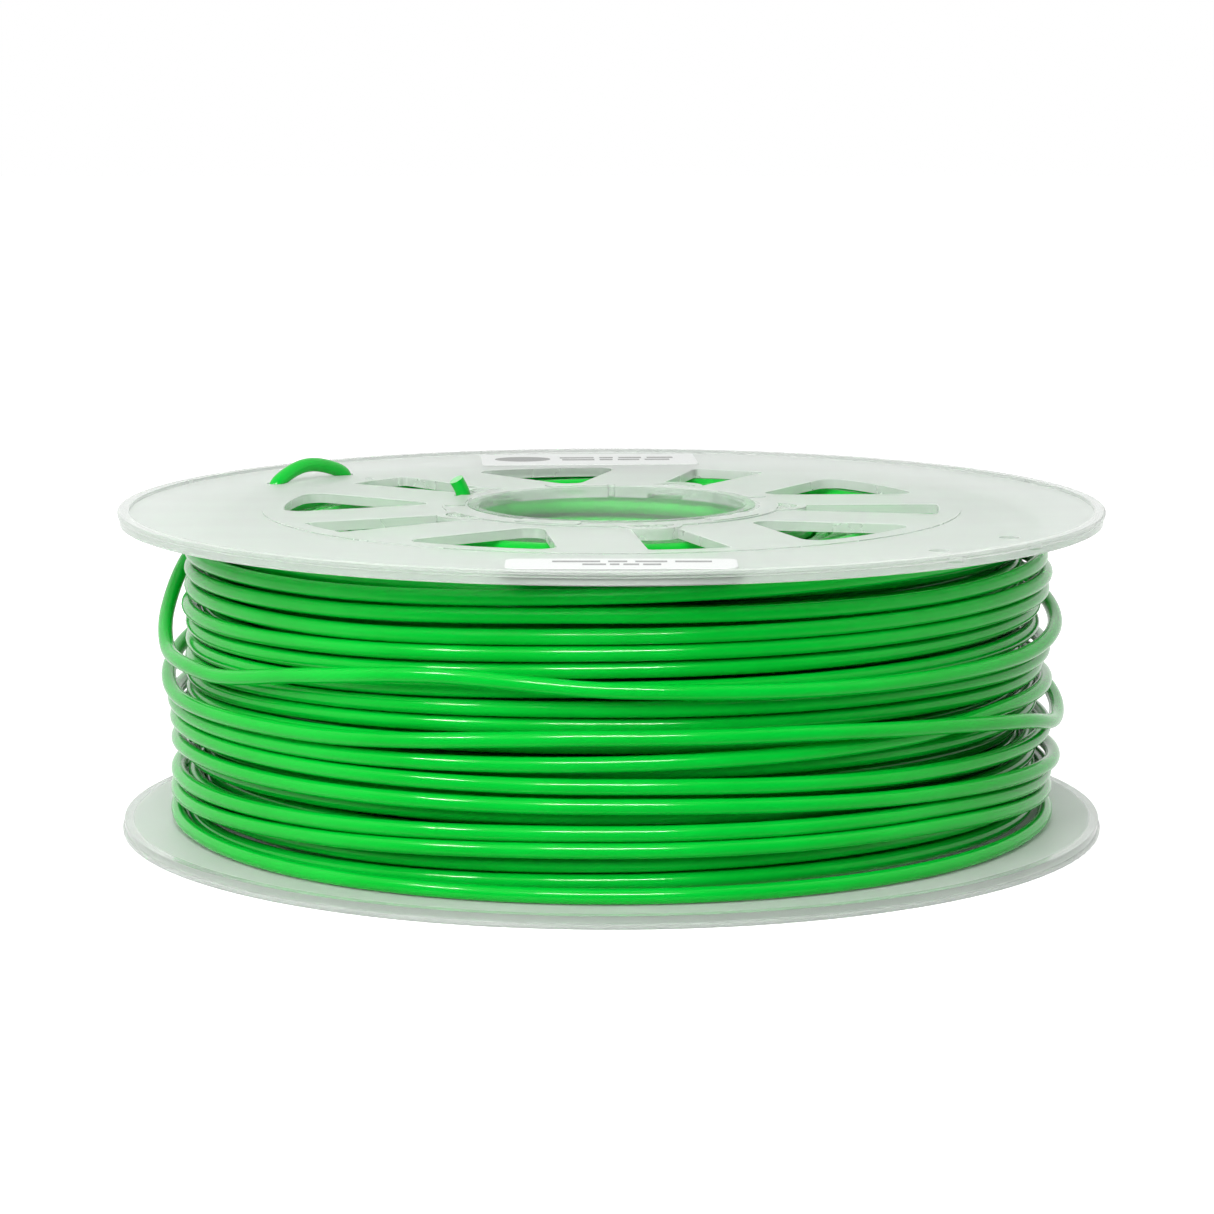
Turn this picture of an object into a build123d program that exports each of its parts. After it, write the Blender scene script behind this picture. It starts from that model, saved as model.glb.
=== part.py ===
"""A full spool of 3 mm plastic filament.

Two identical clear flanges snap onto the ends of a clear barrel. The filament is wound on the barrel, its
inner end comes out through a hole beside the hub, and its outer end is tied off in a loop through two holes.

Millimetres. +Z is the spool's axis and the origin is the centre of the bottom flange's outer face.
"""

import os
from math import cos, radians, sin, sqrt

from build123d import *

os.makedirs("parts", exist_ok=True)

# Driving dimensions
FLANGE_R = 100.0
SPOOL_HEIGHT = 65.5
BORE_R = 27.0
BARREL_WALL = 2.3
FILAMENT_D = 3.0

# Flange section, in heights above its inner face, which touches the winding
FLANGE_THICKNESS = 2.5
RIM_WIDTH = 2.4
RIM_LEDGE_HEIGHT = 1.4
RIM_LEDGE_STEP = 0.4
WEB_THICKNESS = 1.8
FIELD_THICKNESS = 2.0
FIELD_R = 71.0
LAND_R = 34.5
LAND_THICKNESS = 2.3
LAND_PAD_HALF_ANGLE = 12.0
LAND_PAD_INSET = 0.5
LAND_PAD_ROUND = 1.0
RIM_ROUND = 0.35
EDGE_ROUND = 0.25

# Windows: five straight ones with radial sides, and five tapered ones between spokes of constant width
WINDOW_COUNT = 5
FIRST_STRAIGHT_ANGLE = -5.0
STRAIGHT_HALF_ANGLE = 7.0
STRAIGHT_INNER_R = 36.5
WINDOW_OUTER_R = 66.5
SPOKE_WIDTH = 16.8
TAPERED_TIP_ROUND = 3.2
TAPERED_CORNER_ROUND = 3.5
STRAIGHT_CORNER_ROUND = 1.0

# Latches: a half-round boss in each straight window, with a slot that a hook of the barrel snaps through
BOSS_R = 6.3
BOSS_CENTRE = 33.4
SLOT_R = 4.9
SLOT_CENTRE = 32.9
SLOT_START_R = 34.0
THROAT_START_R = 34.2
THROAT_END_R = 36.0
THROAT_WIDTH = 6.6
SHELF_HEIGHT = 1.6
EAR_POCKET_DEPTH = 0.9
EAR_WIDTH = 8.0
EAR_END_R = 36.2
HOOK_START_R = 34.35
HOOK_END_R = 35.7
HOOK_WIDTH = 6.0
HOOK_TOP = 2.2
BARB_REACH = 0.9
BARB_WIDTH = 4.6
CLEARANCE = 0.05

# Barrel
BARREL_R = BORE_R + BARREL_WALL
BARREL_TOP = 2.45
BORE_LEAD_IN = 0.5
KEY_ANGLE = 90.0
KEY_WIDTH = 1.6
KEY_END_R = 31.2
KEY_LENGTH = 3.0

# Filament holes in each flange, as radius and angle
STRAND_HOLES = [(81.4, 151.5), (79.9, 136.5), (90.0, -32.0), (90.0, -47.0), (34.9, 151.5)]
STRAND_HOLE_R = 2.0
PIN_HOLE = (69.0, 139.0)
PIN_HOLE_R = 0.8

# Winding: layers as nested closed solids, with a scalloped outer layer
WINDING_GAP = 0.1
INNER_LAYERS_R = 57.0
OUTER_LAYER_TURNS = 20
WINDING_R = 87.4

# Loose outer turns: centre height, radius, sideways shift and tilt about X and Y
LOOSE_TURNS = [
    (44.0, 90.0, (-0.6, -0.4), (0.8, -0.6)),
    (36.5, 90.2, (0.3, -0.3), (-0.5, 0.7)),
    (19.0, 89.6, (-0.2, 0.3), (-0.6, -0.3)),
]

# Tie-off loop over the top flange, as (share of the way between its holes, height above the web)
LOOP_ROUTE = [(0.0, -1.85), (0.0, 1.3), (0.30, 3.0), (0.70, 3.05), (1.0, 1.5), (1.0, -1.85)]
LOOP_RADII = [1.9, 12.0, 12.0, 2.0]
END_LEAN = [(0.0, 0.0, -1.85), (0.0, 0.0, 0.6), (-1.5, -0.8, 3.6)]
END_RADIUS = 1.6

# Paper labels
LABEL_THICKNESS = 0.15
REAR_LABEL_SIZE = (48.0, 20.0)
REAR_LABEL_CENTRE = (-5.0, 82.5)
REAR_LABEL_TILT = 3.0
REAR_LABEL_ROUND = 0.8
FRONT_LABEL_SIZE = (42.5, 12.5)
FRONT_LABEL_CENTRE = (1.7, -84.0)
FRONT_LABEL_ROUND = 2.2

INNER_SPACE_TOP = SPOOL_HEIGHT - FLANGE_THICKNESS
WEB_TOP = INNER_SPACE_TOP + WEB_THICKNESS
TAPERED_ANGLE = FIRST_STRAIGHT_ANGLE + 180.0 / WINDOW_COUNT

# Each flange is drawn on its own inner face, looking outwards. The bottom one is turned over about the axis
# of a straight window, so that the windows of both flanges line up.
TOP_FACE = Plane(origin=(0, 0, INNER_SPACE_TOP), x_dir=(1, 0, 0), z_dir=(0, 0, 1))
TURNED = radians(2 * FIRST_STRAIGHT_ANGLE)
BOTTOM_FACE = Plane(
    origin=(0, 0, FLANGE_THICKNESS), x_dir=(cos(TURNED), sin(TURNED), 0), z_dir=(0, 0, -1)
)


def on_circle(radius, angle):
    """The point at a radius and an angle in degrees."""
    return radius * cos(radians(angle)), radius * sin(radians(angle))


# The tapered window points at the hub. Its sides run parallel to the straight windows' sides.
side_angle = 180.0 / WINDOW_COUNT - STRAIGHT_HALF_ANGLE
tip = SPOKE_WIDTH / sin(radians(side_angle))
side_length = sqrt(WINDOW_OUTER_R**2 - SPOKE_WIDTH**2) - tip * cos(radians(side_angle))
corner_x = tip + side_length * cos(radians(side_angle))
corner_y = side_length * sin(radians(side_angle))

with BuildSketch() as tapered_window:
    with BuildLine():
        Line((tip, 0), (corner_x, corner_y))
        ThreePointArc((corner_x, corner_y), (WINDOW_OUTER_R, 0), (corner_x, -corner_y))
        Line((corner_x, -corner_y), (tip, 0))
    make_face()
    fillet(vertices().sort_by(Axis.X)[0], TAPERED_TIP_ROUND)
    fillet(vertices().group_by(Axis.X)[-1], TAPERED_CORNER_ROUND)

with BuildSketch() as straight_window:
    with BuildLine():
        Line(
            on_circle(STRAIGHT_INNER_R, -STRAIGHT_HALF_ANGLE),
            on_circle(WINDOW_OUTER_R, -STRAIGHT_HALF_ANGLE),
        )
        ThreePointArc(
            on_circle(WINDOW_OUTER_R, -STRAIGHT_HALF_ANGLE),
            (WINDOW_OUTER_R, 0),
            on_circle(WINDOW_OUTER_R, STRAIGHT_HALF_ANGLE),
        )
        Line(
            on_circle(WINDOW_OUTER_R, STRAIGHT_HALF_ANGLE),
            on_circle(STRAIGHT_INNER_R, STRAIGHT_HALF_ANGLE),
        )
        Line(
            on_circle(STRAIGHT_INNER_R, STRAIGHT_HALF_ANGLE),
            on_circle(STRAIGHT_INNER_R, -STRAIGHT_HALF_ANGLE),
        )
    make_face()
    fillet(vertices().group_by(Axis.X)[-1], STRAIGHT_CORNER_ROUND)

# The half-moon mouth of a latch slot, and the narrow throat below it that the hook passes through
with BuildSketch() as latch_mouth:
    with Locations((SLOT_CENTRE, 0)):
        Circle(SLOT_R)
    Circle(SLOT_START_R, mode=Mode.SUBTRACT)

with BuildSketch() as latch_throat:
    with Locations(((THROAT_START_R + THROAT_END_R) / 2, 0)):
        Rectangle(THROAT_END_R - THROAT_START_R, THROAT_WIDTH)

pad_inner_r = BARREL_R + LAND_PAD_INSET
pad_outer_r = LAND_R - LAND_PAD_INSET
with BuildSketch() as land_pad:
    with BuildLine():
        CenterArc((0, 0), pad_outer_r, -LAND_PAD_HALF_ANGLE, 2 * LAND_PAD_HALF_ANGLE)
        CenterArc((0, 0), pad_inner_r, -LAND_PAD_HALF_ANGLE, 2 * LAND_PAD_HALF_ANGLE)
        Line(
            on_circle(pad_inner_r, -LAND_PAD_HALF_ANGLE),
            on_circle(pad_outer_r, -LAND_PAD_HALF_ANGLE),
        )
        Line(
            on_circle(pad_inner_r, LAND_PAD_HALF_ANGLE),
            on_circle(pad_outer_r, LAND_PAD_HALF_ANGLE),
        )
    make_face()
    fillet(vertices(), LAND_PAD_ROUND)

# The seat that a barrel's end sits in, with a notch for its key
with BuildSketch() as barrel_seat:
    Circle(BARREL_R + CLEARANCE)
    with Locations(on_circle(KEY_END_R, KEY_ANGLE)):
        Circle(KEY_WIDTH / 2 + CLEARANCE)
    with Locations(on_circle(KEY_END_R - KEY_LENGTH / 2, KEY_ANGLE)):
        Rectangle(KEY_WIDTH + 2 * CLEARANCE, KEY_LENGTH)


def make_flange(face):
    """One flange, drawn on its inner face."""
    with BuildPart() as flange:
        with BuildSketch(face):
            Circle(FLANGE_R - RIM_LEDGE_STEP)
        extrude(amount=RIM_LEDGE_HEIGHT)
        with BuildSketch(face.offset(RIM_LEDGE_HEIGHT)):
            Circle(FLANGE_R)
        extrude(amount=FLANGE_THICKNESS - RIM_LEDGE_HEIGHT)

        # The web is lower than the rim, the window field is between them, and the land is higher again
        with BuildSketch(face.offset(WEB_THICKNESS)):
            Circle(FLANGE_R - RIM_WIDTH)
            Circle(FIELD_R, mode=Mode.SUBTRACT)
        extrude(amount=FLANGE_THICKNESS - WEB_THICKNESS, mode=Mode.SUBTRACT)
        with BuildSketch(face.offset(FIELD_THICKNESS)):
            Circle(FIELD_R)
            Circle(LAND_R, mode=Mode.SUBTRACT)
        extrude(amount=FLANGE_THICKNESS - FIELD_THICKNESS, mode=Mode.SUBTRACT)
        with BuildSketch(face.offset(LAND_THICKNESS)):
            Circle(LAND_R)
            with PolarLocations(0, WINDOW_COUNT, start_angle=TAPERED_ANGLE):
                add(land_pad.sketch, mode=Mode.SUBTRACT)
        extrude(amount=FLANGE_THICKNESS - LAND_THICKNESS, mode=Mode.SUBTRACT)

        # Round the rim
        round_edges = flange.edges().filter_by(GeomType.CIRCLE)
        fillet(round_edges.filter_by(lambda e: e.radius > FLANGE_R - 0.1), RIM_ROUND)

        # Cut the windows and round their outer edges. The rounding runs on from each window's outer arc.
        with BuildSketch(face):
            with PolarLocations(0, WINDOW_COUNT, start_angle=TAPERED_ANGLE):
                add(tapered_window.sketch)
            with PolarLocations(0, WINDOW_COUNT, start_angle=FIRST_STRAIGHT_ANGLE):
                add(straight_window.sketch)
        extrude(amount=FLANGE_THICKNESS, mode=Mode.SUBTRACT)
        outer_face = face.offset(FIELD_THICKNESS)
        window_arcs = flange.edges().filter_by(GeomType.CIRCLE)
        window_arcs = window_arcs.filter_by(lambda e: abs(e.radius - WINDOW_OUTER_R) < 0.01)
        fillet(
            window_arcs.filter_by(lambda e: abs(outer_face.to_local_coords(e.center()).Z) < 0.01),
            EDGE_ROUND,
        )

        # The land reaches into each straight window as a boss
        with BuildSketch(face):
            with PolarLocations(BOSS_CENTRE, WINDOW_COUNT, start_angle=FIRST_STRAIGHT_ANGLE):
                Circle(BOSS_R)
        extrude(amount=LAND_THICKNESS)

        # Cut the barrel's seat, the latch throats and the strand's holes
        with BuildSketch(face):
            add(barrel_seat.sketch)
            with PolarLocations(0, WINDOW_COUNT, start_angle=FIRST_STRAIGHT_ANGLE):
                add(latch_throat.sketch)
            for radius, angle in STRAND_HOLES:
                with Locations(on_circle(radius, angle)):
                    Circle(STRAND_HOLE_R)
            with Locations(on_circle(*PIN_HOLE)):
                Circle(PIN_HOLE_R)
        extrude(amount=FLANGE_THICKNESS, mode=Mode.SUBTRACT)

        with BuildSketch(face.offset(SHELF_HEIGHT)):
            with PolarLocations(0, WINDOW_COUNT, start_angle=FIRST_STRAIGHT_ANGLE):
                add(latch_mouth.sketch)
        extrude(amount=FLANGE_THICKNESS - SHELF_HEIGHT, mode=Mode.SUBTRACT)
        with BuildSketch(face):
            with PolarLocations(
                (BORE_R + EAR_END_R) / 2, WINDOW_COUNT, start_angle=FIRST_STRAIGHT_ANGLE
            ):
                Rectangle(EAR_END_R - BORE_R + 2 * CLEARANCE, EAR_WIDTH + 2 * CLEARANCE)
        extrude(amount=EAR_POCKET_DEPTH, mode=Mode.SUBTRACT)
    return flange


top_flange = make_flange(TOP_FACE)
top_flange.part.label = "top_flange"
export_step(top_flange.part, "parts/top_flange.step")

bottom_flange = make_flange(BOTTOM_FACE)
bottom_flange.part.label = "bottom_flange"
export_step(bottom_flange.part, "parts/bottom_flange.step")

# The barrel: a plain tube whose ends carry five ears with hooks and one key each
with BuildPart() as barrel:
    with BuildSketch(Plane.XY.offset(FLANGE_THICKNESS)):
        Circle(BARREL_R)
    extrude(amount=SPOOL_HEIGHT - 2 * FLANGE_THICKNESS)
    for face in (TOP_FACE, BOTTOM_FACE):
        with BuildSketch(face):
            Circle(BARREL_R)
            with Locations(on_circle(KEY_END_R - KEY_LENGTH / 2, KEY_ANGLE)):
                Rectangle(KEY_WIDTH, KEY_LENGTH)
            with Locations(on_circle(KEY_END_R, KEY_ANGLE)):
                Circle(KEY_WIDTH / 2)
        extrude(amount=BARREL_TOP)
        with BuildSketch(face):
            with PolarLocations(
                (BORE_R + EAR_END_R) / 2, WINDOW_COUNT, start_angle=FIRST_STRAIGHT_ANGLE
            ):
                Rectangle(EAR_END_R - BORE_R, EAR_WIDTH)
        extrude(amount=EAR_POCKET_DEPTH - CLEARANCE)
        with BuildSketch(face):
            with PolarLocations(
                (HOOK_START_R + HOOK_END_R) / 2, WINDOW_COUNT, start_angle=FIRST_STRAIGHT_ANGLE
            ):
                Rectangle(HOOK_END_R - HOOK_START_R, HOOK_WIDTH)
        extrude(amount=HOOK_TOP)
        with BuildSketch(face.offset(SHELF_HEIGHT + CLEARANCE)):
            with PolarLocations(
                HOOK_END_R + BARB_REACH / 2, WINDOW_COUNT, start_angle=FIRST_STRAIGHT_ANGLE
            ):
                Rectangle(BARB_REACH, BARB_WIDTH)
        extrude(amount=HOOK_TOP - SHELF_HEIGHT - CLEARANCE)
    with BuildSketch(Plane.XY):
        Circle(BORE_R)
    extrude(amount=SPOOL_HEIGHT, mode=Mode.SUBTRACT)
    bore_rims = barrel.edges().filter_by(GeomType.CIRCLE)
    bore_rims = bore_rims.filter_by(lambda e: abs(e.radius - BORE_R) < 0.01)
    chamfer(bore_rims, BORE_LEAD_IN)
barrel.part.label = "barrel"
export_step(barrel.part, "parts/barrel.step")


def make_layers(inner_r, outer_r):
    """Layers of the winding, as one closed ring between the flanges."""
    with BuildPart() as layers:
        with BuildSketch(Plane.XY.offset(FLANGE_THICKNESS + WINDING_GAP)):
            Circle(outer_r)
            Circle(inner_r, mode=Mode.SUBTRACT)
        extrude(amount=INNER_SPACE_TOP - FLANGE_THICKNESS - 2 * WINDING_GAP)
    return layers


strand_r = FILAMENT_D / 2
middle_layers_r = WINDING_R - FILAMENT_D

inner_layers = make_layers(BARREL_R, INNER_LAYERS_R)
inner_layers.part.label = "filament_inner_layers"
export_step(inner_layers.part, "parts/filament_inner_layers.step")

middle_layers = make_layers(INNER_LAYERS_R, middle_layers_r)
middle_layers.part.label = "filament_middle_layers"
export_step(middle_layers.part, "parts/filament_middle_layers.step")

# The outer layer shows its turns as scallops
winding_bottom = FLANGE_THICKNESS + WINDING_GAP
winding_top = INNER_SPACE_TOP - WINDING_GAP
turn_pitch = (winding_top - winding_bottom) / OUTER_LAYER_TURNS
groove_r = WINDING_R - strand_r
with BuildPart() as outer_layers:
    with BuildSketch(Plane.XZ):
        with BuildLine():
            Line((groove_r, winding_bottom), (middle_layers_r, winding_bottom))
            Line((middle_layers_r, winding_bottom), (middle_layers_r, winding_top))
            Line((middle_layers_r, winding_top), (groove_r, winding_top))
            for turn in range(OUTER_LAYER_TURNS):
                low = winding_bottom + turn * turn_pitch
                ThreePointArc(
                    (groove_r, low),
                    (WINDING_R, low + turn_pitch / 2),
                    (groove_r, low + turn_pitch),
                )
        make_face()
    revolve(axis=Axis.Z)
outer_layers.part.label = "filament_outer_layers"
export_step(outer_layers.part, "parts/filament_outer_layers.step")

with BuildPart() as loose_turns:
    for height, radius, shift, tilt in LOOSE_TURNS:
        with Locations(Location((shift[0], shift[1], height), (tilt[0], tilt[1], 0))):
            Torus(radius, strand_r)
loose_turns.part.label = "filament_loose_turns"
export_step(loose_turns.part, "parts/filament_loose_turns.step")

# The tie-off loop rises out of one hole and goes down the other
loop_start = Vector(*on_circle(*STRAND_HOLES[0]))
loop_end = Vector(*on_circle(*STRAND_HOLES[1]))
chord = loop_end - loop_start
loop_points = [
    (loop_start.X + chord.X * s, loop_start.Y + chord.Y * s, WEB_TOP + h) for s, h in LOOP_ROUTE
]
with BuildPart() as tie_loop:
    with BuildLine() as loop_path:
        FilletPolyline(*loop_points, radius=LOOP_RADII)
    with BuildSketch(Plane(origin=loop_path.line @ 0, z_dir=loop_path.line % 0)):
        Circle(strand_r)
    sweep()
tie_loop.part.label = "filament_tie_loop"
export_step(tie_loop.part, "parts/filament_tie_loop.step")

# The inner end stands up out of the hole beside the hub
end_x, end_y = on_circle(*STRAND_HOLES[4])
end_points = [(end_x + x, end_y + y, WEB_TOP + z) for x, y, z in END_LEAN]
with BuildPart() as inner_end:
    with BuildLine() as end_path:
        FilletPolyline(*end_points, radius=END_RADIUS)
    with BuildSketch(Plane(origin=end_path.line @ 0, z_dir=end_path.line % 0)):
        Circle(strand_r)
    sweep()
inner_end.part.label = "filament_inner_end"
export_step(inner_end.part, "parts/filament_inner_end.step")


def make_label(size, centre, tilt, corner_round):
    """A paper label on the web of the top flange."""
    with BuildPart() as label:
        with BuildSketch(Plane.XY.offset(WEB_TOP)):
            with Locations(Location((*centre, 0), (0, 0, tilt))):
                RectangleRounded(*size, corner_round)
        extrude(amount=LABEL_THICKNESS)
    return label


rear_label = make_label(REAR_LABEL_SIZE, REAR_LABEL_CENTRE, REAR_LABEL_TILT, REAR_LABEL_ROUND)
rear_label.part.label = "rear_label"
export_step(rear_label.part, "parts/rear_label.step")

front_label = make_label(FRONT_LABEL_SIZE, FRONT_LABEL_CENTRE, 0.0, FRONT_LABEL_ROUND)
front_label.part.label = "front_label"
export_step(front_label.part, "parts/front_label.step")
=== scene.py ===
import math
import bpy
import numpy as np
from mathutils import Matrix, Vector


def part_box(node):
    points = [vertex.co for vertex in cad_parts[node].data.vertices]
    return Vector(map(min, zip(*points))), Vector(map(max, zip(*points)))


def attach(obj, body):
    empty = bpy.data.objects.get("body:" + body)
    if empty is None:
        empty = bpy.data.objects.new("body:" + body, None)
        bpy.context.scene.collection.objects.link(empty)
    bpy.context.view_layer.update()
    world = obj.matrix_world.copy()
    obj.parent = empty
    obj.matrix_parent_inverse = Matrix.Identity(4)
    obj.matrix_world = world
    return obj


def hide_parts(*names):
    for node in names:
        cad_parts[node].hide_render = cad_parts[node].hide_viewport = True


MM = 0.001
SEED = 7

# Strand and winding, in millimetres and degrees. Angles run anticlockwise from +X, seen from above,
# and the strand travels clockwise.
STRAND_R = 1.5
FIRST_LAYER_R = 30.85
LAYER_STEP = 3.01
LAYERS = 18
INNER_PIECE_LAYERS = 9
INNER_END_ANGLE = 151.5
OUTER_START_ANGLE = 30.0
HIDDEN_TURNS = 291 + (INNER_END_ANGLE - OUTER_START_ANGLE) / 360
STEP_OUT_TURNS = 0.15
WINDING_GAP = 0.1
TURN_WANDER = 0.16
HOLE_DIP = 3.2
HOLE_DIP_ANGLE = 16
HOLE_DIP_TURNS = 6.2
WANDER_FADE = 8
ROUNDING = 1e-9

# Each turn of the outer layer: its height at the five visible angles, then its radius at the right, front
# and left
VISIBLE_ANGLES = (340, 310, 270, 230, 200)
BEHIND_R = 85.4
OUTER_LAYER = [
    ((61.2, 60.6, 59.2, 57.5, 57.2), (86.0, 86.2, 85.2)),
    ((56.0, 55.4, 55.6, 54.0, 53.6), (87.2, 86.2, 85.3)),
    ((52.8, 52.2, 51.8, 50.3, 50.1), (88.2, 86.6, 85.3)),
    ((49.6, 49.1, 48.6, 47.0, 46.2), (87.6, 86.2, 86.0)),
    ((46.4, 45.8, 45.3, 43.5, 42.8), (85.8, 85.2, 85.2)),
    ((42.4, 42.1, 41.7, 40.1, 39.3), (85.6, 85.3, 85.2)),
    ((37.6, 38.0, 38.2, 37.0, 35.9), (88.0, 86.4, 85.3)),
    ((34.3, 34.6, 34.9, 33.8, 32.6), (86.4, 85.2, 85.2)),
    ((29.9, 30.1, 31.2, 30.3, 29.4), (85.2, 85.3, 85.2)),
    ((26.6, 26.4, 26.4, 25.8, 25.4), (85.2, 85.3, 85.3)),
    ((20.2, 21.2, 22.3, 22.0, 21.6), (85.2, 85.3, 85.2)),
    ((16.7, 17.2, 17.9, 17.4, 16.8), (85.2, 85.3, 85.4)),
    ((12.9, 13.6, 14.1, 12.9, 12.0), (85.2, 85.3, 85.2)),
    ((9.2, 9.5, 9.0, 8.1, 7.9), (85.3, 85.5, 85.2)),
    ((5.9, 6.0, 5.7, 4.6, 4.1), (85.2, 85.6, 85.3)),
]

# The loose return from the foot of the winding to the top flange: turn, angle, height, radius.
# A turn starts at the first angle below, behind the right side.
TURN_START_ANGLE = 20
LOOSE_RETURN = [
    (0, 20, 4.1, 88.6), (0, 340, 4.1, 88.9), (0, 300, 4.1, 90.4), (0, 240, 4.1, 90.6),
    (0, 200, 4.2, 88.9), (0, 180, 4.8, 88.6), (0, 110, 6.5, 89.2),
    (1, 20, 8.2, 88.6), (1, 350, 9.0, 88.5), (1, 310, 12.0, 89.0), (1, 270, 12.3, 89.0),
    (1, 230, 10.7, 88.9), (1, 200, 9.3, 88.7), (1, 180, 8.7, 88.6), (1, 110, 9.9, 88.6),
    (2, 20, 11.6, 88.6), (2, 350, 12.4, 88.5), (2, 310, 15.1, 88.6), (2, 270, 15.4, 88.6),
    (2, 230, 13.9, 88.6), (2, 200, 12.9, 88.5), (2, 180, 12.5, 88.5), (2, 110, 13.2, 88.6),
    (3, 20, 14.8, 89.4), (3, 350, 15.6, 90.2), (3, 340, 16.4, 90.1), (3, 310, 18.5, 89.2),
    (3, 270, 20.5, 88.8), (3, 230, 20.0, 88.7), (3, 200, 19.6, 88.5), (3, 180, 18.8, 88.4),
    (3, 110, 19.6, 88.5),
    (4, 20, 21.6, 88.4), (4, 350, 21.6, 88.3), (4, 310, 22.5, 88.4), (4, 270, 24.2, 88.7),
    (4, 230, 24.0, 88.7), (4, 200, 23.8, 88.7), (4, 180, 23.4, 88.6), (4, 110, 24.6, 88.6),
    (5, 20, 30.0, 88.6), (5, 350, 31.0, 88.3), (5, 330, 31.2, 88.2), (5, 310, 29.7, 88.3),
    (5, 270, 28.4, 88.5), (5, 230, 27.2, 88.7), (5, 200, 27.0, 88.8), (5, 180, 27.0, 89.2),
    (5, 110, 28.4, 91.7),
    (6, 20, 27.4, 91.7), (6, 350, 24.2, 90.8), (6, 330, 28.6, 91.4), (6, 310, 31.8, 91.3),
    (6, 290, 33.3, 90.4), (6, 270, 33.5, 89.9), (6, 230, 30.6, 90.0), (6, 200, 30.3, 90.2),
    (6, 185, 32.0, 90.2), (6, 160, 37.0, 90.0), (6, 100, 43.0, 89.6),
    (7, 20, 46.6, 89.8), (7, 350, 42.4, 90.2), (7, 330, 41.0, 90.3), (7, 310, 40.9, 90.2),
    (7, 270, 42.4, 90.3), (7, 250, 44.2, 90.4), (7, 230, 41.6, 90.4), (7, 210, 37.9, 90.5),
    (7, 195, 38.0, 90.6), (7, 180, 43.5, 90.8), (7, 170, 50.2, 90.6), (7, 160, 57.2, 89.0),
    (7, 156, 59.8, 87.2), (7, 153.5, 61.2, 84.4),
]

# Tie-off loop over the top flange: share of the way between its holes, height above the flange's web
LOOP_HOLES = [(81.4, 151.5), (79.9, 136.5)]
LOOP_ROUTE = [(0.0, -1.85), (0.0, 0.2), (0.33, 3.05), (0.62, 3.05), (1.0, 0.6), (1.0, -1.85)]
INNER_END_HOLE = (34.9, 151.5)
INNER_END_LEAN = [(0.0, 0.0, -1.85), (0.0, 0.0, 0.6), (-1.5, -0.8, 3.6)]
WEB_ABOVE_INNER_FACE = 1.8
HOLE_ENTRY_HEIGHT = 62.0

# Fineness of the strand's pieces: points on each turn, then sides round the strand
INNER_MESH = (48, 8)
MIDDLE_MESH = (56, 10)
LAST_LAYER_POINTS = 120
OUTER_MESH = (144, 14)
LOOSE_MESH = (160, 20)
END_SIDES = 24
ENTRY_CUTS = 3
ROUTE_CUTS = 4

# Generic print on the labels, as (centre x, centre y, width, height), in the label's own directions
PRINT_LIFT = 0.02
PRINT_THICKNESS = 0.03
OVAL = (-14.8, 0.4, 12.4, 8.6)
REAR_ROWS = [(6.3, 2.6, 25.4, 2.0), (6.0, -1.2, 24.0, 2.0)]
FRONT_ROWS = [(2.0, 2.3, 29.3, 1.8), (0.1, -1.5, 14.4, 1.8)]
WORD_ENDS = [(0.0, 0.30), (0.35, 0.47), (0.52, 0.72), (0.77, 1.0)]
REAR_LABEL_TILT = 3.0

# Where the flange's clear hub gives way to frost, and frost to the clear rim, in metres from the axis
HUB_EDGE = (0.0293, 0.0345)
RIM_EDGE = (0.0972, 0.0980)

# Camera, in metres, radians and millimetres of lens: fitted to the outlines of both flanges, then pitched
# down slightly more
CAMERA_PLACE = (-0.0009, -0.8031, 0.1668)
CAMERA_PITCH_DOWN = 0.1517
CAMERA_LENS = 117.8
SENSOR_WIDTH = 36

# Floor: its glow as the camera sees it, the light it gives, what is added through clear plastic, and its
# half width and its drop below the spool in metres
FLOOR_GLOW = 0.92
FLOOR_LIGHT = 0.03
FLOOR_THROUGH_PLASTIC = 0.12
FLOOR_REACH = 3
FLOOR_CLEARANCE = 0.00005

# Background strength on the camera's side and elsewhere, where one gives way to the other along Y, and the
# share of it that lights matt surfaces
WORLD_FRONT = 0.02
WORLD_BACK = 1.05
WORLD_TURN = (-0.75, 0.05)
WORLD_ON_MATT = 0.48

# What the softboxes point at, and how far from it they stand, in metres
LOOK_AT = Vector((0, 0, 0.033))
LIGHT_DISTANCE = 1.0


def on_circle(radius, angle):
    return np.array([radius * math.cos(math.radians(angle)), radius * math.sin(math.radians(angle))])


def smooth_through(at, knots, values):
    """A smooth curve through the knots that never passes beyond its neighbouring knots."""
    width = np.diff(knots)
    rise = np.diff(values) / width
    before, after = rise[:-1], rise[1:]
    together = before * after > 0
    slope = np.zeros(len(knots))
    slope[0], slope[-1] = rise[0], rise[-1]
    slope[1:-1] = np.where(together, 2 * before * after / np.where(together, before + after, 1.0), 0.0)
    i = np.clip(np.searchsorted(knots, at) - 1, 0, len(knots) - 2)
    s = (at - knots[i]) / width[i]
    start = values[i] * (1 + 2 * s) * (1 - s) ** 2 + slope[i] * width[i] * s * (1 - s) ** 2
    end = values[i + 1] * s * s * (3 - 2 * s) + slope[i + 1] * width[i] * s * s * (s - 1)
    return start + end


def corners_cut(points, times):
    """Rounds a run of points by cutting its corners again and again. Its ends stay."""
    points = np.asarray(points, float)
    for _ in range(times):
        near = points[:-1] * 0.75 + points[1:] * 0.25
        far = points[:-1] * 0.25 + points[1:] * 0.75
        cut = np.stack([near, far], 1).reshape(-1, 3)
        points = np.vstack([points[:1], cut, points[-1:]])
    return points


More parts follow.
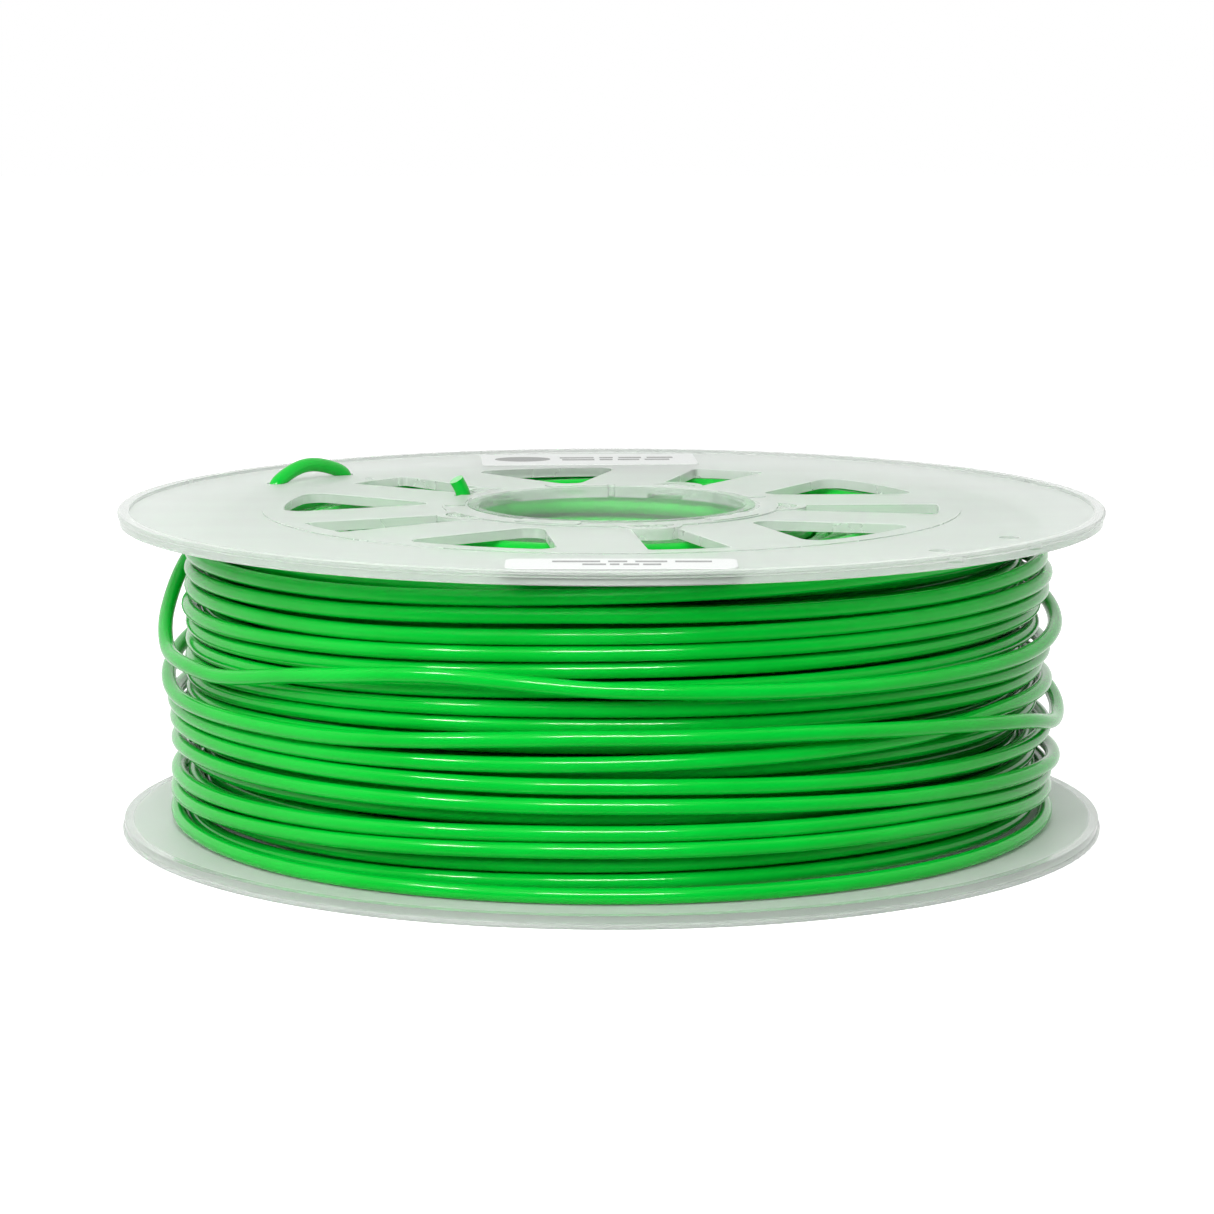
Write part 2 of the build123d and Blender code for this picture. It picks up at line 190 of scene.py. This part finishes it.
def wound(angles, radii, heights):
    turn = np.radians(angles)
    return np.stack([radii * np.cos(turn), radii * np.sin(turn), heights], 1)


def wander(turns, random):
    """A slow uneven drift along the barrel, a different amount every half turn."""
    marks = np.arange(0, turns[-1] + 1, 0.5)
    return np.interp(turns, marks, random.uniform(-TURN_WANDER, TURN_WANDER, len(marks)))


def hidden_layers(first, last, per_turn, low, high):
    """The strand from the start of one layer to the end of another."""
    turns_per_layer = HIDDEN_TURNS / LAYERS
    start, end = first * turns_per_layer, last * turns_per_layer
    turns = np.linspace(start, end, int((end - start) * per_turn) + 1)
    layer = np.minimum(np.floor(turns / turns_per_layer + ROUNDING), LAYERS - 1)
    share = turns / turns_per_layer - layer
    up = np.where(layer % 2 > 0, share, 1 - share)
    heights = low + up * (high - low)
    near_low = np.minimum(1, WANDER_FADE * up)
    near_high = np.minimum(1, WANDER_FADE * (1 - up))
    heights += wander(turns, np.random.default_rng(SEED)) * near_low * near_high
    heights -= dip_under_hole(turns)
    step = np.clip((share - 1) * turns_per_layer / STEP_OUT_TURNS + 1, 0, 1)
    radii = FIRST_LAYER_R + LAYER_STEP * (layer + step * step * (3 - 2 * step))
    return wound(INNER_END_ANGLE - 360 * turns, radii, heights)


def dip_under_hole(turns):
    """The last turns lie lower where the strand's outer end leaves through the flange."""
    past = 360 * (HIDDEN_TURNS - turns) + OUTER_START_ANGLE - INNER_END_ANGLE
    depth = np.clip(HOLE_DIP * (1 - past / 360 / HOLE_DIP_TURNS), 0, HOLE_DIP)
    return depth * np.exp(-(((past + 180) % 360 - 180) / HOLE_DIP_ANGLE) ** 2)


def outer_layer(per_turn, high):
    """The outermost full layer, from its top down to the start of the loose return."""
    knots = [(-OUTER_START_ANGLE, high, FIRST_LAYER_R + LAYER_STEP * LAYERS)]
    for turn, (heights, (right, front, left)) in enumerate(OUTER_LAYER):
        radii = (right, (right + front) / 2, front, (front + left) / 2, left)
        for angle, height, radius in zip(VISIBLE_ANGLES, heights, radii):
            knots.append((360 * (turn + 1) - angle, height, radius))
        if turn + 1 < len(OUTER_LAYER):
            behind = (heights[-1] + OUTER_LAYER[turn + 1][0][0]) / 2
            knots.append((360 * turn + 270, behind, BEHIND_R))
    knots.append((360 * len(OUTER_LAYER) - LOOSE_RETURN[0][1], LOOSE_RETURN[0][2], LOOSE_RETURN[0][3]))
    return through_knots(np.array(knots), per_turn)


def loose_return(per_turn):
    """The slack turns that climb from the foot of the winding to the hole in the top flange."""
    knots = [
        (360 * turn + (360 - angle if angle > TURN_START_ANGLE else -angle), height, radius)
        for turn, angle, height, radius in LOOSE_RETURN
    ]
    return through_knots(np.array(knots), per_turn)


def through_knots(knots, per_turn):
    travel, heights, radii = knots.T
    at = np.linspace(travel[0], travel[-1], int((travel[-1] - travel[0]) / 360 * per_turn))
    return wound(-at, smooth_through(at, travel, radii), smooth_through(at, travel, heights))


def tie_loop_route(web):
    start, end = (on_circle(*hole) for hole in LOOP_HOLES)
    return [(*(start + share * (end - start)), web + height) for share, height in LOOP_ROUTE]


def inner_end_route(web):
    x, y = on_circle(*INNER_END_HOLE)
    return [(x + dx, y + dy, web + dz) for dx, dy, dz in INNER_END_LEAN]


def new_object(name, vertices, faces, smooth_faces=0):
    mesh = bpy.data.meshes.new(name)
    mesh.from_pydata([tuple(v) for v in vertices], [], faces)
    smooth = np.arange(len(faces)) < smooth_faces
    mesh.polygons.foreach_set("use_smooth", smooth)
    mesh.update()
    piece = bpy.data.objects.new(name, mesh)
    bpy.context.scene.collection.objects.link(piece)
    return piece


def tube(name, path, sides):
    """A closed tube of the strand's thickness along a path in millimetres, with flat cut ends."""
    along = np.gradient(path, axis=0)
    along /= np.linalg.norm(along, axis=1)[:, None]
    out = path * (1, 1, 0)
    out -= along * (out * along).sum(1)[:, None]
    out /= np.linalg.norm(out, axis=1)[:, None]
    across = np.cross(along, out)
    turn = np.linspace(0, 2 * math.pi, sides, endpoint=False)[None, :, None]
    ring = out[:, None] * np.cos(turn) + across[:, None] * np.sin(turn)
    vertices = (path[:, None] + STRAND_R * ring).reshape(-1, 3) * MM
    row = np.arange(len(path) - 1)[:, None] * sides
    here = np.arange(sides)
    following = (here + 1) % sides
    quads = np.stack([row + here, row + following, row + following + sides, row + here + sides], -1)
    faces = quads.reshape(-1, 4).tolist()
    last = (len(path) - 1) * sides
    caps = [list(range(sides))[::-1], list(range(last, last + sides))]
    return new_object(name, vertices, faces + caps, smooth_faces=len(faces))


def slab(outline, low, high):
    """Vertices and faces of a flat closed slab with the given outline."""
    count = len(outline)
    vertices = [(x, y, low) for x, y in outline] + [(x, y, high) for x, y in outline]
    sides = [[i, (i + 1) % count, (i + 1) % count + count, i + count] for i in range(count)]
    return vertices, [list(range(count))[::-1], list(range(count, 2 * count))] + sides


def oval_outline(centre_x, centre_y, width, height, points=48):
    turns = [2 * math.pi * i / points for i in range(points)]
    return [(centre_x + width / 2 * math.cos(t), centre_y + height / 2 * math.sin(t)) for t in turns]


def row_outlines(centre_x, centre_y, width, height):
    """A row of plain bars, as long as words."""
    start = centre_x - width / 2
    low, high = centre_y - height / 2, centre_y + height / 2
    ends = [(start + width * left, start + width * right) for left, right in WORD_ENDS]
    return [[(left, low), (right, low), (right, high), (left, high)] for left, right in ends]


def label_print(name, label, outlines, tilt):
    """Thin printed marks lying on a label, turned with it."""
    low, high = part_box(label)
    middle = (low + high) / 2
    turn = math.radians(tilt)
    vertices, faces = [], []
    for outline in outlines:
        more, its_faces = slab(outline, PRINT_LIFT, PRINT_LIFT + PRINT_THICKNESS)
        faces += [[i + len(vertices) for i in face] for face in its_faces]
        vertices += more
    placed = [
        (middle.x + MM * (x * math.cos(turn) - y * math.sin(turn)),
         middle.y + MM * (x * math.sin(turn) + y * math.cos(turn)),
         high.z + MM * z)
        for x, y, z in vertices
    ]
    return new_object(name, placed, faces)


def empty_material(name):
    material = bpy.data.materials.new(name)
    material.use_nodes = True
    nodes = material.node_tree.nodes
    return material, nodes, material.node_tree.links, nodes["Principled BSDF"]


def noise(nodes, links, coordinates, scale, detail=3.0, stretch=None):
    """A noise texture, and if asked its coordinates stretched along an axis."""
    texture = nodes.new("ShaderNodeTexNoise")
    texture.inputs["Scale"].default_value = scale
    texture.inputs["Detail"].default_value = detail
    if stretch:
        mapping = nodes.new("ShaderNodeMapping")
        mapping.inputs["Scale"].default_value = stretch
        links.new(coordinates, mapping.inputs["Vector"])
        coordinates = mapping.outputs["Vector"]
    links.new(coordinates, texture.inputs["Vector"])
    return texture.outputs["Fac"]


def ramp(nodes, links, factor, stops):
    """Colours at positions along a factor."""
    colours = nodes.new("ShaderNodeValToRGB")
    elements = colours.color_ramp.elements
    while len(elements) < len(stops):
        elements.new(0.5)
    for element, (position, colour) in zip(elements, stops):
        element.position = position
        element.color = (*colour, 1)
    links.new(factor, colours.inputs["Fac"])
    return colours.outputs["Color"]


def to_range(nodes, links, factor, low, high, start=0.0, end=1.0):
    """Turns a factor's start to end into low to high, smoothly."""
    change = nodes.new("ShaderNodeMapRange")
    change.interpolation_type = "SMOOTHSTEP"
    change.inputs["From Min"].default_value = start
    change.inputs["From Max"].default_value = end
    change.inputs["To Min"].default_value = low
    change.inputs["To Max"].default_value = high
    links.new(factor, change.inputs["Value"])
    return change.outputs["Result"]


def bump(nodes, links, shader, height, strength, distance):
    relief = nodes.new("ShaderNodeBump")
    relief.inputs["Strength"].default_value = strength
    relief.inputs["Distance"].default_value = distance
    links.new(height, relief.inputs["Height"])
    links.new(relief.outputs["Normal"], shader.inputs["Normal"])


def object_coordinates(nodes):
    return nodes.new("ShaderNodeTexCoord").outputs["Object"]


def filament_material():
    """Glossy saturated green plastic, extruded, with slight changes of tone along its length."""
    material, nodes, links, shader = empty_material("filament_green")
    place = object_coordinates(nodes)
    tone = noise(nodes, links, place, 45.0)
    links.new(ramp(nodes, links, tone, [(0.3, (0.0006, 0.50, 0.030)), (0.7, (0.0010, 0.58, 0.040))]),
              shader.inputs["Base Color"])
    gloss = noise(nodes, links, place, 40.0)
    links.new(to_range(nodes, links, gloss, 0.11, 0.15), shader.inputs["Roughness"])
    bump(nodes, links, shader, noise(nodes, links, place, 1400.0), 0.05, 0.00002)
    shader.inputs["Specular IOR Level"].default_value = 0.26
    return material


def cut_end_material():
    """The paler, rougher face where the strand was cut."""
    material, nodes, links, shader = empty_material("filament_cut_face")
    place = object_coordinates(nodes)
    links.new(ramp(nodes, links, noise(nodes, links, place, 1500.0),
                   [(0.3, (0.25, 0.70, 0.30)), (0.7, (0.40, 0.80, 0.42))]), shader.inputs["Base Color"])
    shader.inputs["Roughness"].default_value = 0.6
    bump(nodes, links, shader, noise(nodes, links, place, 2500.0), 0.4, 0.0001)
    return material


def distance_from_axis(nodes, links, place):
    flat = nodes.new("ShaderNodeVectorMath")
    flat.operation = "MULTIPLY"
    flat.inputs[1].default_value = (1, 1, 0)
    links.new(place, flat.inputs[0])
    length = nodes.new("ShaderNodeVectorMath")
    length.operation = "LENGTH"
    links.new(flat.outputs["Vector"], length.inputs[0])
    return length.outputs["Value"]


def combine(nodes, links, operation, first, second):
    maths = nodes.new("ShaderNodeMath")
    maths.operation = operation
    links.new(first, maths.inputs[0])
    links.new(second, maths.inputs[1])
    return maths.outputs["Value"]


def flatness(nodes, links):
    """1 on faces that lie flat and less on upright walls and edges."""
    parts = nodes.new("ShaderNodeSeparateXYZ")
    links.new(nodes.new("ShaderNodeTexCoord").outputs["Normal"], parts.inputs["Vector"])
    size = nodes.new("ShaderNodeMath")
    size.operation = "ABSOLUTE"
    links.new(parts.outputs["Z"], size.inputs[0])
    return to_range(nodes, links, size.outputs["Value"], 0.5, 1.0, 0.5, 0.95)


def flange_material():
    """Clear moulded plastic: milky and frosted over the web, clear and glossy at the rim and the hub."""
    material, nodes, links, shader = empty_material("clear_plastic_flange")
    place = object_coordinates(nodes)
    radius = distance_from_axis(nodes, links, place)
    past_hub = to_range(nodes, links, radius, 0.5, 1.0, *HUB_EDGE)
    before_rim = to_range(nodes, links, radius, 1.0, 0.25, *RIM_EDGE)
    moulded = combine(nodes, links, "MULTIPLY", past_hub, before_rim)
    frost = combine(nodes, links, "MULTIPLY", moulded, flatness(nodes, links))
    streaks = noise(nodes, links, place, 28.0, detail=5.0, stretch=(1.0, 2.6, 1.0))
    links.new(ramp(nodes, links, streaks, [(0.3, (0.88, 0.94, 0.89)), (0.7, (0.95, 0.98, 0.95))]),
              shader.inputs["Base Color"])
    see_through = to_range(nodes, links, frost, 0.74, 0.46)
    links.new(see_through, shader.inputs["Transmission Weight"])
    cloudy = to_range(nodes, links, streaks, 0.85, 1.15, 0.3, 0.7)
    rough = to_range(nodes, links, frost, 0.06, 0.46)
    links.new(combine(nodes, links, "MULTIPLY", rough, cloudy), shader.inputs["Roughness"])
    bump(nodes, links, shader, noise(nodes, links, place, 420.0), 0.04, 0.00003)
    shader.inputs["IOR"].default_value = 1.45
    shader.inputs["Alpha"].default_value = 0.86
    return material


def barrel_material():
    """Clear tube plastic with faint moulding haze."""
    material, nodes, links, shader = empty_material("clear_plastic_barrel")
    place = object_coordinates(nodes)
    haze = noise(nodes, links, place, 60.0, stretch=(1.0, 1.0, 0.25))
    links.new(ramp(nodes, links, haze, [(0.3, (0.74, 0.84, 0.76)), (0.7, (0.82, 0.90, 0.83))]),
              shader.inputs["Base Color"])
    links.new(to_range(nodes, links, haze, 0.12, 0.24, 0.3, 0.7), shader.inputs["Roughness"])
    bump(nodes, links, shader, noise(nodes, links, place, 250.0), 0.05, 0.00005)
    shader.inputs["Transmission Weight"].default_value = 0.72
    shader.inputs["IOR"].default_value = 1.4
    shader.inputs["Alpha"].default_value = 0.55
    return material


def paper_material(name, dark, light, roughness):
    """Paper or print with a fine grain."""
    material, nodes, links, shader = empty_material(name)
    place = object_coordinates(nodes)
    grain = noise(nodes, links, place, 1800.0, detail=4.0)
    links.new(ramp(nodes, links, grain, [(0.3, dark), (0.7, light)]), shader.inputs["Base Color"])
    shader.inputs["Roughness"].default_value = roughness
    bump(nodes, links, shader, grain, 0.15, 0.00005)
    return material


def floor_material():
    """A pale lit sweep, almost as bright as the background."""
    material, nodes, links, shader = empty_material("pale_floor")
    grain = noise(nodes, links, object_coordinates(nodes), 6.0)
    links.new(ramp(nodes, links, grain, [(0.3, (0.60, 0.60, 0.60)), (0.7, (0.64, 0.64, 0.64))]),
              shader.inputs["Base Color"])
    shader.inputs["Roughness"].default_value = 0.9
    shader.inputs["Specular IOR Level"].default_value = 0.0
    shader.inputs["Emission Color"].default_value = (1, 1, 1, 1)
    rays = nodes.new("ShaderNodeLightPath")
    direct = to_range(nodes, links, rays.outputs["Is Camera Ray"], FLOOR_LIGHT, FLOOR_GLOW)
    through = to_range(nodes, links, rays.outputs["Is Transmission Ray"], 0.0, FLOOR_THROUGH_PLASTIC)
    links.new(combine(nodes, links, "ADD", direct, through), shader.inputs["Emission Strength"])
    return material


def finish_from(node, material):
    """Gives a carried-over CAD node its procedural finish."""
    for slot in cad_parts[node].material_slots:
        slot.material = material


def strand_piece(name, node, path, sides):
    """A stretch of the strand that stands for a CAD node."""
    piece = tube(name, path, sides)
    piece.data.materials.append(FILAMENT)
    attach(piece, "root")
    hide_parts(node)
    return piece


def print_piece(name, label, outlines, tilt):
    piece = label_print(name, label, outlines, tilt)
    piece.data.materials.append(INK)
    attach(piece, "root")
    return piece


def place_camera():
    lens = bpy.data.cameras.new("camera")
    lens.lens = CAMERA_LENS
    lens.sensor_width = SENSOR_WIDTH
    camera = bpy.data.objects.new("camera", lens)
    camera.location = CAMERA_PLACE
    camera.rotation_euler = (math.pi / 2 - CAMERA_PITCH_DOWN, 0, 0)
    bpy.context.scene.collection.objects.link(camera)
    bpy.context.scene.camera = camera


def highlighted(pieces):
    """The pieces that the narrow softboxes make highlights on."""
    group = bpy.data.collections.new("highlighted")
    for piece in pieces:
        group.objects.link(piece)
    return group


def softbox(name, azimuth, elevation, size, power, highlights=None):
    """A rectangular area light on a sphere round the spool, at an azimuth from the camera's side.

    Angles are in degrees, the size in metres and the power in watts. It either makes
    highlights on some pieces and nothing else, or lights the spool without showing in gloss.
    """
    lamp = bpy.data.lights.new(name, "AREA")
    lamp.shape = "RECTANGLE"
    lamp.size, lamp.size_y = size
    lamp.energy = power
    light = bpy.data.objects.new(name, lamp)
    turn, lift = math.radians(azimuth), math.radians(elevation)
    away = Vector((math.sin(turn) * math.cos(lift), -math.cos(turn) * math.cos(lift), math.sin(lift)))
    light.location = LOOK_AT + LIGHT_DISTANCE * away
    light.rotation_euler = away.to_track_quat("Z", "Y").to_euler()
    light.visible_glossy = highlights is not None
    light.visible_diffuse = highlights is None
    light.visible_transmission = highlights is None
    light.light_linking.receiver_collection = highlights
    light.visible_camera = False
    bpy.context.scene.collection.objects.link(light)


def light_world():
    """A white studio, dim on the camera's side and bright elsewhere. The camera itself sees it white."""
    world = bpy.data.worlds.new("studio")
    world.use_nodes = True
    bpy.context.scene.world = world
    nodes, links = world.node_tree.nodes, world.node_tree.links
    direction = nodes.new("ShaderNodeTexCoord")
    parts = nodes.new("ShaderNodeSeparateXYZ")
    links.new(direction.outputs["Generated"], parts.inputs["Vector"])
    strength = to_range(nodes, links, parts.outputs["Y"], WORLD_FRONT, WORLD_BACK, *WORLD_TURN)
    rays = nodes.new("ShaderNodeLightPath")
    on_matt = to_range(nodes, links, rays.outputs["Is Diffuse Ray"], 1.0, WORLD_ON_MATT)
    strength = combine(nodes, links, "MULTIPLY", strength, on_matt)
    mix = nodes.new("ShaderNodeMix")
    mix.inputs["B"].default_value = 1.0
    links.new(rays.outputs["Is Camera Ray"], mix.inputs["Factor"])
    links.new(strength, mix.inputs["A"])
    background = nodes["Background"]
    background.inputs["Color"].default_value = (1, 1, 1, 1)
    links.new(mix.outputs["Result"], background.inputs["Strength"])


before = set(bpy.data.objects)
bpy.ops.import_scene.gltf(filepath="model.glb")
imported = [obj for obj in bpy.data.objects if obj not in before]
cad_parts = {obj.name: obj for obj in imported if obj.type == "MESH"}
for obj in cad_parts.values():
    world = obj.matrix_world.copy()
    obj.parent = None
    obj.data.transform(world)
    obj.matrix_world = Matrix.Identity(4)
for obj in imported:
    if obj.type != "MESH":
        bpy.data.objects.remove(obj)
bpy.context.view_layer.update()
place_camera()

FILAMENT = filament_material()
CUT_END = cut_end_material()
INK = paper_material("grey_print", (0.34, 0.35, 0.34), (0.44, 0.45, 0.44), 0.7)

inner_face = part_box("top_flange")[0].z / MM
web_top = inner_face + WEB_ABOVE_INNER_FACE
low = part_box("bottom_flange")[1].z / MM + STRAND_R + WINDING_GAP
high = inner_face - STRAND_R - WINDING_GAP

inner_path = hidden_layers(0, INNER_PIECE_LAYERS, INNER_MESH[0], low, high)
middle_path = hidden_layers(INNER_PIECE_LAYERS, LAYERS - 1, MIDDLE_MESH[0], low, high)
last_layer = hidden_layers(LAYERS - 1, LAYERS, LAST_LAYER_POINTS, low, high)
outer_path = np.vstack([last_layer[:-1], outer_layer(OUTER_MESH[0], high)])
loop_route = tie_loop_route(web_top)
loose_path = loose_return(LOOSE_MESH[0])
below_hole = (*on_circle(*LOOP_HOLES[0]), HOLE_ENTRY_HEIGHT)
into_hole = corners_cut([loose_path[-1], below_hole, loop_route[0]], ENTRY_CUTS)
loose_path = np.vstack([loose_path, into_hole[1:]])
loop_path = corners_cut(loop_route, ROUTE_CUTS)
end_path = corners_cut(inner_end_route(web_top), ROUTE_CUTS)

strand_piece("inner_winding", "filament_inner_layers", inner_path, INNER_MESH[1])
middle_winding = strand_piece("middle_winding", "filament_middle_layers", middle_path, MIDDLE_MESH[1])
outer_winding = strand_piece("outer_winding", "filament_outer_layers", outer_path, OUTER_MESH[1])
loose_turns = strand_piece("loose_turns", "filament_loose_turns", loose_path, LOOSE_MESH[1])
tie_loop = strand_piece("tie_loop", "filament_tie_loop", loop_path, END_SIDES)
stub = strand_piece("inner_end", "filament_inner_end", end_path, END_SIDES)
stub.data.materials.append(CUT_END)
stub.data.polygons[-1].material_index = 1

FLANGE = flange_material()
finish_from("top_flange", FLANGE)
finish_from("bottom_flange", FLANGE)
finish_from("barrel", barrel_material())
PAPER = paper_material("label_paper", (0.84, 0.87, 0.85), (0.92, 0.94, 0.92), 0.75)
finish_from("rear_label", PAPER)
finish_from("front_label", PAPER)
rear_marks = [oval_outline(*OVAL)] + sum((row_outlines(*row) for row in REAR_ROWS), [])
front_marks = sum((row_outlines(*row) for row in FRONT_ROWS), [])
print_piece("rear_print", "rear_label", rear_marks, REAR_LABEL_TILT)
print_piece("front_print", "front_label", front_marks, 0.0)

floor_turns = ((-1, -1), (1, -1), (1, 1), (-1, 1))
floor_corners = [(x * FLOOR_REACH, y * FLOOR_REACH, -FLOOR_CLEARANCE) for x, y in floor_turns]
floor = new_object("floor", floor_corners, [[0, 1, 2, 3]])
floor.data.materials.append(floor_material())
floor.visible_glossy = False

bpy.context.scene.view_settings.view_transform = "Standard"
light_world()
shiny = highlighted([middle_winding, outer_winding, loose_turns, tie_loop, stub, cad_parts["barrel"]])
softbox("strip_long", -1.5, 40, (0.50, 0.030), 11, shiny)
softbox("strip_short", -49, 40, (0.20, 0.030), 4.5, shiny)
softbox("fill_front", -18, 36, (0.9, 0.6), 10.5)
softbox("fill_top", 0, 88, (0.9, 0.9), 1.2)
